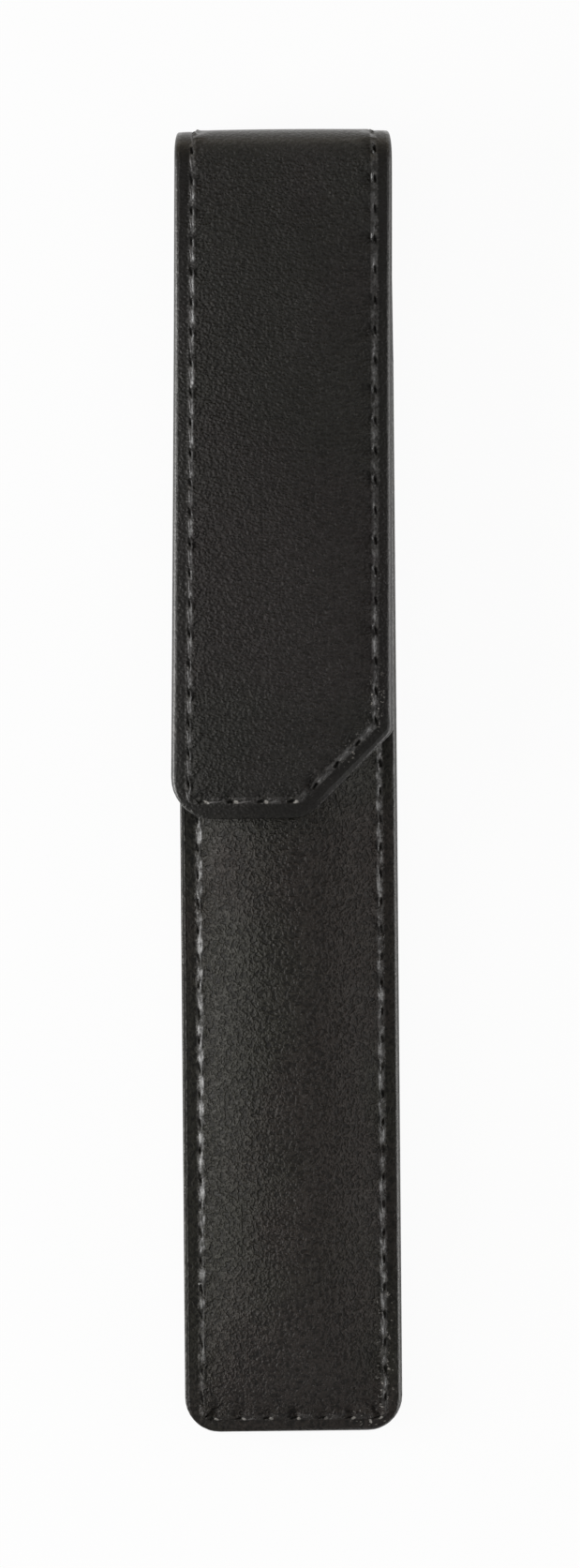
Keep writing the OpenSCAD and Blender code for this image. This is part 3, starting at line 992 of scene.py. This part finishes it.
def set_stitches(row, tree, material):
    """Turns a row of points into its stitches, as a plain mesh."""
    sockets = {item.name: item.identifier for item in tree.interface.items_tree if item.in_out == "INPUT"}
    modifier = row.modifiers.new("stitches", "NODES")
    modifier.node_group = tree
    modifier[sockets["Material"]] = material
    shown = row.evaluated_get(bpy.context.evaluated_depsgraph_get())
    mesh = bpy.data.meshes.new_from_object(shown)
    row.modifiers.remove(modifier)
    row.data = mesh


# Threads stand a little proud of the furrow's floor, and are pressed into the soft lining
thread_rise = 0.02
lining_press_in = 0.3
front_thread_z = margin_top - furrow_d + thread_rise + thread_d / 2
mouth_thread_z = leather_t + lining_t - lining_press_in + thread_d / 2
back_thread_z = back_furrow_d - thread_rise - thread_d / 2
flap_thread_z = flap_top - furrow_d + thread_rise + thread_d / 2
flap_inner_thread_z = flap_top - leather_t - lining_t + lining_press_in - thread_d / 2


def flat_row(name, seam, height, up):
    points, ways, ups = [], [], []
    for (x, y), (wx, wy) in seam_places(seam, fold_y + 0.1):
        place = np.array([[x, y]])
        draw_in(place)
        points.append((place[0, 0], y, height(y)))
        ways.append((wx, wy, 0))
        ups.append((0, 0, up))
    return stitch_row(name, points, ways, ups)


def flap_row(name, level, up):
    points, ways, ups = [], [], []
    for (x, y), (wx, wy) in seam_places(flap_seam, fold_y + 0.1):
        reach = stitch_len / 2
        before = float(flap_height(x - wx * reach, y - wy * reach))
        after = float(flap_height(x + wx * reach, y + wy * reach))
        way = np.array([wx, wy, (after - before) / stitch_len])
        step = 0.1
        out = float(flap_height(x + wy * step, y - wx * step) - flap_height(x - wy * step, y + wx * step)) / (2 * step)
        across = np.array([wy, -wx, out])
        normal = np.cross(across, way)
        points.append((x, y, level + (before + after) / 2))
        ways.append(way)
        ups.append(normal * up)
    return stitch_row(name, points, ways, ups)


def fold_row(name, segment):
    """The four stitches of a fold segment, at the middle of its turn."""
    turn = segment * hinge_step
    angle = math.radians(turn)
    points, ways, ups = [], [], []
    for r, up in ((fold_r - furrow_d + thread_rise + thread_d / 2, 1),
                  (fold_r - leather_t - lining_t + lining_press_in - thread_d / 2, -1)):
        for side in (-1, 1):
            x = side * (fold_w / 2 - seam_inset) * (1 - fold_narrowing(turn) / (fold_w / 2))
            points.append(tuple(fold_point(x, r - fold_sag(x, turn), turn)))
            ways.append((0, -side * math.cos(angle), -side * math.sin(angle)))
            ups.append((0, up * math.sin(angle), -up * math.cos(angle)))
    return stitch_row(name, points, ways, ups)


# Finishes

def make_grain_group():
    """Pebbles of grained leather, with the fine wrinkles between them."""
    w, given = node_group("leather_grain", "Shader", Place="Vector", Pebbles_per_Metre=2400.0, Stretch=1.0, Warp=0.0004)
    scale = w.vector(1.0, given["Stretch"], 1.0)
    place = w.get("ShaderNodeVectorMath", 0, {0: given["Place"], 1: scale}, operation="MULTIPLY")
    pebbles = given["Pebbles per Metre"]
    push = w.get("ShaderNodeTexNoise", "Color", {"Vector": place, "Scale": pebbles * 0.6, "Detail": 2.0})
    reach = w.vector(given["Warp"], given["Warp"], given["Warp"])
    pushed = w.get("ShaderNodeVectorMath", 0, {0: push, 1: reach, 2: place}, operation="MULTIPLY_ADD")
    cells = {"Vector": pushed, "Scale": pebbles, "Smoothness": 0.35}
    dome = w.ramp(w.get("ShaderNodeTexVoronoi", "Distance", cells, feature="SMOOTH_F1"), 0.75, 0.1)
    fine = w.noise(place, pebbles * 3.1, 3.0, 0.6)
    valleys = w.math("SUBTRACT", 1.0, dome, clamp=True)
    return end_group(w, Height=dome * 0.75 + fine * 0.5, Valleys=valleys, Fleck=w.ramp(fine, 0.55, 0.75))


def make_nap_group():
    """Fine curled fuzz of brushed or lightly creased leather."""
    w, given = node_group("leather_nap", "Shader", Place="Vector", Curls_per_Metre=2600.0)
    curls = given["Curls per Metre"]
    curl = w.ramp(abs(w.noise(given["Place"], curls, 2.0, 0.5) * 2.0 - 1.0), 0.3, 0.0) * 0.6
    finer = w.noise(given["Place"], curls * 2.2, 2.0, 0.6)
    return end_group(w, Height=curl + finer * 0.4, Fuzz=curl + w.ramp(finer, 0.35, 0.65) * 0.4)


def make_edge_group():
    """Masks of the painted edge, of its worn spots and of the cut face, from the distance to it in millimetres."""
    w, given = node_group("painted_edge", "Shader", Place="Vector", Width=0.5, Softness=0.35, Raggedness=0.35)
    rim = w.attribute("rim")
    ragged = rim + (w.noise(given["Place"], 900.0) - 0.5) * given["Raggedness"]
    rub = w.ramp(w.noise(given["Place"], 420.0, 5.0, 0.65), 0.5, 0.78)
    return end_group(
        w, Edge=w.ramp(ragged - given["Width"], given["Softness"], 0.0), Rub=rub * w.ramp(rim, 0.8, 0.25),
        Cut=w.ramp(rim, 0.2, 0.12))


def make_seam_group():
    """Masks of the marks beside a seam.

    Margin is the pressed strip outside it, Hole a stitch hole, which the colour fills with painted shade, Lip the
    sleek ridge inside it, which the colour also lightens as a painted highlight, and the glint output the painted
    highlights: bright specks beside the seam towards the free end and beads beside the holes along it. Side fades out
    the gloss of the free end, which the lamps at the sides don't reach.
    """
    w, given = node_group(
        "seam_marks", "Shader", Place="Vector", Hole_Length=0.12, Seam_Inset=seam_inset, End_Line=0.0,
        Ridge_Offset=0.12, Bead_Phase=0.17, Bead_Offset=-0.05)
    place, seam_line, hole_length = given["Place"], given["Seam Inset"], given["Hole Length"]
    x, y, _ = w.split(place)
    from_end = y - given["End Line"]
    inset, phase = w.attribute("inset"), w.attribute("phase")
    from_seam = abs(inset - seam_line)
    past_hole = phase - w.math("ROUND", phase)
    beside_hole = w.ramp(abs(past_hole), hole_length * 1.35, hole_length)
    margin = w.ramp(seam_line - inset, 0.1, 0.5) * w.ramp(inset, 0.35, 0.7)

    unbroken = 1.0 - beside_hole * w.ramp(from_seam, 0.2, 0.1)
    from_ridge = abs(seam_line + given["Ridge Offset"] - inset)
    patchy = w.ramp(w.noise(place, 760.0, 2.0, 0.6), 0.38, 0.62, 0.15, 1.0)
    # Where the lip shows: fainter towards the free end on the left. The lip sets the gloss and also a painted highlight
    # in the colour
    lip_reach = w.highest(w.ramp(from_end, 0.008, 0.035), w.ramp(x, -0.01, -0.006))
    lip = unbroken * w.ramp(from_ridge, 0.52, 0.28) * (lip_reach * 0.65 + 0.35) * patchy

    # Painted highlights: bright specks in patches beside the seam, mostly on the right towards the free end, and a bead
    # just past each hole along the free end, painted light into the colour as if they caught the lamps
    specks = w.ramp(w.noise(place, 2300.0, 2.0, 0.6), 0.6, 0.68) * w.ramp(from_seam, 0.2, 0.3)
    where = w.ramp(w.noise(place, 75.0, 2.0, 0.5), 0.36, 0.5) * w.ramp(from_seam, 1.5, 0.4)
    where = where * w.ramp(x, 0.006, 0.009, 0.1, 1.0) * w.ramp(from_end, 0.02, 0.014)
    across = (past_hole - given["Bead Phase"]) * 10.0
    beside = (inset - seam_line - given["Bead Offset"]) * 3.6
    bead = w.ramp(w.math("SQRT", across * across + beside * beside), 1.0, 0.45)
    bead = bead * w.ramp(from_end, 0.0032, 0.0022, 0.12, 1.0)
    bead = bead * w.ramp(w.noise(place, 330.0, 1.0, 0.5), 0.36, 0.56, 0.35, 1.0)
    return end_group(
        w, Margin=margin, Hole=beside_hole * w.ramp(from_seam, 0.2, 0.06), Lip=lip,
        Glint=w.highest(where * specks, bead), Side=w.ramp(from_end, 0.0018, 0.0035, 0.15, 1.0))


def make_dust_group():
    """A few pale specks and lint."""
    w, given = node_group(
        "dust", "Shader", Place="Vector", Specks_per_Metre=260.0, Share=0.035, Radius=0.018, Size_Range=0.03)
    cells = w.outputs(w.node("ShaderNodeTexVoronoi", {"Vector": given["Place"], "Scale": given["Specks per Metre"]}))
    pick, size, _ = (
        Wire(w, socket) for socket in w.node("ShaderNodeSeparateColor", {0: cells["Color"]}).outputs)
    near = w.math("LESS_THAN", cells["Distance"], size * given["Size Range"] + given["Radius"])
    return end_group(w, Speck=near * w.math("LESS_THAN", pick, given["Share"]))


grain_group = make_grain_group()
nap_group = make_nap_group()
edge_group = make_edge_group()
seam_group = make_seam_group()
dust_group = make_dust_group()


def placed(w, tree, place, **values):
    """Adds a shader group at a place, and gives its outputs."""
    inputs = {"Place": place, **{spaced(label): value for label, value in values.items()}}
    return w.outputs(w.node("ShaderNodeGroup", inputs, node_tree=tree))


def finish(name, **plain):
    """A new material, with these plain numbers and colours on its shader."""
    made = bpy.data.materials.new(name)
    made.use_nodes = True
    w = Wiring(made.node_tree)
    shader = made.node_tree.nodes["Principled BSDF"]
    for label, value in plain.items():
        shader.inputs[spaced(label)].default_value = value
    return made, w, shader.inputs, w.get("ShaderNodeTexCoord", "Object")


def bump(w, height, depth, **below):
    """Relief of this depth in millimetres, on top of another one's normal if that is given."""
    return w.get("ShaderNodeBump", 0, {"Strength": 1.0, "Distance": depth * MM, "Height": height, **below})


def leather(name, dark, light, grain_inputs, grain_depth, nap_inputs, nap_depth, edge_inputs, margin, end_y):
    """Black leather: mottled colour, grain and nap as bump, seam marks, a pressed margin and a sleek, worn edge."""
    made, w, shader, place = finish(
        name, Specular_IOR_Level=0.25, Specular_Tint=(1.0, 0.97, 0.93, 1), Coat_Roughness=0.34, Coat_IOR=1.55)
    grain = placed(w, grain_group, place, **grain_inputs)
    nap = placed(w, nap_group, place, **nap_inputs)
    edge = placed(w, edge_group, place, **edge_inputs)
    seam = placed(w, seam_group, place, End_Line=end_y * MM)
    dust = placed(w, dust_group, place)
    stretch = w.attribute("stretch")

    broad = w.ramp(w.noise(place, 60.0, 4.0, 0.6), 0.35, 0.7)
    tint = w.mixed(w.ramp(w.noise(place, 45.0, 2.0, 0.5), 0.4, 0.6), (0.92, 1.0, 0.9), (1.08, 0.97, 1.0))
    colour = w.mixed(1.0, w.mixed(broad * 0.2 + nap["Fuzz"] * 0.8, dark, light), tint, "MULTIPLY")
    for share, over in (
            (grain["Fleck"] * 0.35, (0.06, 0.055, 0.05)), (seam["Margin"] * margin, (0.004, 0.0038, 0.0038)),
            # Painted highlights: the lips are lightened, and the glint mask paints bright specks and beads
            (seam["Lip"] * 0.4, (0.06, 0.056, 0.053)), (seam["Glint"] * 0.75, (0.42, 0.4, 0.37)),
            (edge["Rub"] * 0.5, (0.05, 0.046, 0.04)), (dust["Speck"], (0.5, 0.5, 0.48)),
            # Painted warm reflection where the leather turns over the fold
            (stretch * stretch, (0.03, 0.024, 0.014)),
            # Painted shade in the stitch holes, deeper over the fold
            (seam["Hole"] * (stretch * 0.55 + 0.4), (0.002, 0.002, 0.002))):
        colour = w.mixed(share, colour, over)
    w.set(shader["Base Color"], colour)

    dull = (nap["Fuzz"] - 0.5) * -0.15 + 0.4 + grain["Valleys"] * 0.2 + edge["Cut"] * 0.3
    sleek = {0: w.highest(edge["Edge"], seam["Lip"]), 2: dull, 3: 0.25}
    w.set(shader["Roughness"], w.get("ShaderNodeMix", 0, sleek, data_type="FLOAT"))
    gloss = w.highest(edge["Edge"] * 0.6 * seam["Side"], stretch * 0.92, seam["Lip"] * 0.9 * seam["Side"])
    w.set(shader["Coat Weight"], gloss * (1.0 - seam["Hole"] * 0.95) * (1.0 - edge["Cut"]))

    calm = (1.0 - w.highest(edge["Edge"], seam["Margin"]) * 0.7) * (broad * 0.55 + 0.65)
    fine = bump(w, nap["Height"] * calm, nap_depth)
    w.set(shader["Normal"], bump(w, grain["Height"] * calm, grain_depth, Normal=fine))
    return made


def suede(name, colour):
    made, w, shader, place = finish(name, Specular_IOR_Level=0.15, Sheen_Weight=0.25, Sheen_Roughness=0.5)
    nap = w.ramp(w.noise(place, 5200.0, 4.0, 0.7), 0.3, 0.7)
    swirl = w.ramp(w.noise(place, 240.0, 3.0, 0.6), 0.35, 0.65)
    pale = tuple(c * 2.1 for c in colour)
    w.set(shader["Base Color"], w.mixed(nap * 0.5 + swirl * 0.5, colour, pale))
    w.set(shader["Roughness"], nap * 0.08 + 0.88)
    w.set(shader["Normal"], bump(w, nap, 0.04))
    return made


def fibre_board():
    made, w, shader, place = finish("fibre_board")
    flecks = w.ramp(w.noise(place, 1800.0, 4.0, 0.7), 0.35, 0.7)
    w.set(shader["Base Color"], w.mixed(flecks, (0.16, 0.12, 0.08), (0.3, 0.24, 0.17)))
    w.set(shader["Roughness"], flecks * 0.1 + 0.8)
    w.set(shader["Normal"], bump(w, flecks, 0.03))
    return made


def waxed_thread():
    made, w, shader, place = finish("waxed_thread", Specular_IOR_Level=0.6)
    fibres = w.noise(place, 9000.0, 3.0, 0.6)
    patches = w.ramp(w.noise(place, 520.0, 2.0, 0.5), 0.35, 0.65)
    tone = fibres * 0.6 + patches * 0.4
    w.set(shader["Base Color"], w.mixed(tone, (0.028, 0.026, 0.027), (0.115, 0.109, 0.106)))
    w.set(shader["Roughness"], w.ramp(fibres, 0.3, 0.7, 0.28, 0.45))
    w.set(shader["Normal"], bump(w, fibres, 0.02))
    return made


cover_leather = leather(
    "cover_leather", (0.0028, 0.0026, 0.0025), (0.0175, 0.016, 0.0155),
    {"Pebbles_per_Metre": 2200.0, "Stretch": 1.25}, 0.26, {"Curls_per_Metre": 1500.0}, 0.07,
    {"Width": 0.55, "Softness": 0.2}, 0.55, flap_end_y)
front_leather = leather(
    "front_leather", (0.0015, 0.0014, 0.0013), (0.028, 0.0252, 0.0216),
    {"Pebbles_per_Metre": 3600.0, "Stretch": 0.9}, 0.06, {"Curls_per_Metre": 1200.0}, 0.28,
    {"Width": 0.45, "Softness": 0.15}, 0.1, closed_end_y)
lining_suede = suede("lining_suede", (0.012, 0.011, 0.011))
board = fibre_board()
thread = waxed_thread()


# Pieces

def dress(piece, material):
    piece.data.materials.clear()
    piece.data.materials.append(material)
    return piece


def bend_over(piece, hinge, after):
    """Bakes a piece's transform into its mesh. It neither bends it over hinge, counted from the back, nor uses after.
    """
    turn = math.radians(hinge_turns[hinge - 1])
    middle = Vector(fold_point(0.0, fold_r, hinge_turns[hinge - 1])) * MM
    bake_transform(piece)


def carry_over_fold(kind, material, back, flap, pair, radii, nodes):
    """Dresses the four pieces of a layer that goes from the back over the fold to the flap."""
    low = make_fold_band(kind + "_fold_low", pair, radii, 90, 45)
    high = make_fold_band(kind + "_fold_high", pair, radii, 135, 90)
    bodies = ["pocket", "fold_1", "fold_2", "fold_3", "flap"]
    for i, (piece, replaced) in enumerate(zip((back, low, high, flap), nodes)):
        dress(piece, material)
        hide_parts(*replaced)
        bend_over(piece, i + 1, bodies[i + 1])


front_panel = dress(make_front_leather(), front_leather)
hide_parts("front_leather")
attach(front_panel, "pocket")
front_inside = dress(make_front_lining(), lining_suede)
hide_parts("front_lining")
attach(front_inside, "pocket")

carry_over_fold(
    "cover", cover_leather, make_cover_back(), make_cover_flap(), leather_pair, cover_radii,
    [("back_leather",), ("fold_leather_1",), ("fold_leather_2",), ("fold_leather_3", "flap_leather")]
)
carry_over_fold(
    "lining", lining_suede, make_back_lining(), make_flap_lining(), lining_pair, lining_radii,
    [("back_lining",), ("fold_lining_1",), ("fold_lining_2",), ("fold_lining_3", "flap_lining")]
)

for node in ("back_board", "flap_board"):
    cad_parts[node].data.materials.clear()
    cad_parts[node].data.materials.append(board)

stitches = stitch_tree()
open_line = mouth_y + stitch_len / 2
rows = [
    (flat_row("stitches_front", body_seam, lambda y: mouth_thread_z if y > open_line else front_thread_z, 1),
     "pocket", "body_thread_front"),
    (flat_row("stitches_back", body_seam, lambda y: back_thread_z, -1), "pocket", "body_thread_back"),
    (fold_row("stitches_fold_1", 1), "fold_1", "fold_thread_1"),
    (fold_row("stitches_fold_2", 2), "fold_2", "fold_thread_2"),
    (fold_row("stitches_fold_3", 3), "fold_3", "fold_thread_3"),
    (flap_row("stitches_flap", flap_thread_z, 1), "flap", "flap_thread_outer"),
    (flap_row("stitches_flap_inner", flap_inner_thread_z, -1), "flap", "flap_thread_inner"),
]
for row, body, node in rows:
    set_stitches(row, stitches, thread)
    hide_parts(node)
    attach(row, body)


# Table, light and camera

def make_table():
    mesh = bpy.data.meshes.new("table")
    r = 3.0
    mesh.from_pydata([(-r, -r, 0), (r, -r, 0), (r, r, 0), (-r, r, 0)], [], [(0, 1, 2, 3)])
    made = show("table", mesh)
    material = bpy.data.materials.new("white_table")
    material.use_nodes = True
    w = Wiring(material.node_tree)
    w.tree.nodes.clear()
    plain = w.get("ShaderNodeBsdfDiffuse", 0, {"Color": (0.9, 0.9, 0.9, 1)})
    glow = w.get("ShaderNodeEmission", 0, {"Color": (1, 1, 1, 1)})
    path = w.outputs(w.node("ShaderNodeLightPath"))
    seen = w.highest(path["Is Camera Ray"], path["Is Glossy Ray"], path["Is Transmission Ray"])
    both = w.get("ShaderNodeMixShader", 0, {0: seen * 0.94, 1: plain, 2: glow})
    w.node("ShaderNodeOutputMaterial", {"Surface": both})
    mesh.materials.append(material)


def make_world():
    world = bpy.data.worlds.new("studio")
    world.use_nodes = True
    w = Wiring(world.node_tree)
    w.tree.nodes.clear()
    _, y, z = w.split(w.get("ShaderNodeTexCoord", "Generated"))
    level = w.ramp(z, 0.0, 0.7, 0.4, 0.55) * w.ramp(abs(y), 0.1, 0.6, 1.0, 0.65) + w.ramp(z, 0.0, 0.22, 0.5, 0.0)
    strength = w.highest(level, w.get("ShaderNodeLightPath", "Is Camera Ray"))
    warmth = w.mixed(w.ramp(y, 0.3, 0.8), (1, 1, 1), (1.0, 0.9, 0.72))
    sky = w.get("ShaderNodeBackground", 0, {"Color": warmth, "Strength": strength})
    w.node("ShaderNodeOutputWorld", {"Surface": sky})
    bpy.context.scene.world = world


def make_lamp(name, place, size, watts, colour=(1, 1, 1)):
    data = bpy.data.lights.new(name, "AREA")
    data.color = colour
    data.shape = "RECTANGLE"
    data.size, data.size_y = size
    data.energy = watts
    lamp = show(name, data)
    lamp.location = place
    lamp.rotation_euler = (-Vector(place)).to_track_quat("-Z", "Y").to_euler()


def make_camera():
    data = bpy.data.cameras.new("camera")
    data.sensor_fit = "VERTICAL"
    data.sensor_height = 24
    data.lens = 63.99
    data.clip_start, data.clip_end = 0.01, 20
    camera = show("camera", data)
    camera.location = (0.18 * MM, -0.19 * MM, 518 * MM)
    camera.rotation_euler = (0, 0, math.radians(-0.49))
    bpy.context.scene.camera = camera


make_table()
make_world()
make_lamp("key", (-0.42, -0.03, 0.14), (0.28, 0.12), 1.6)
make_lamp("left_strip", (-0.9, 0.0, 0.13), (0.9, 0.12), 2.4)
make_lamp("right_strip", (0.9, -0.1, 0.18), (0.9, 0.15), 3.9)
make_lamp("back_strip", (0.05, 0.9, 0.1), (0.7, 0.1), 0.4, (1.0, 0.87, 0.66))
make_camera()

bpy.context.scene.view_settings.view_transform = "Standard"
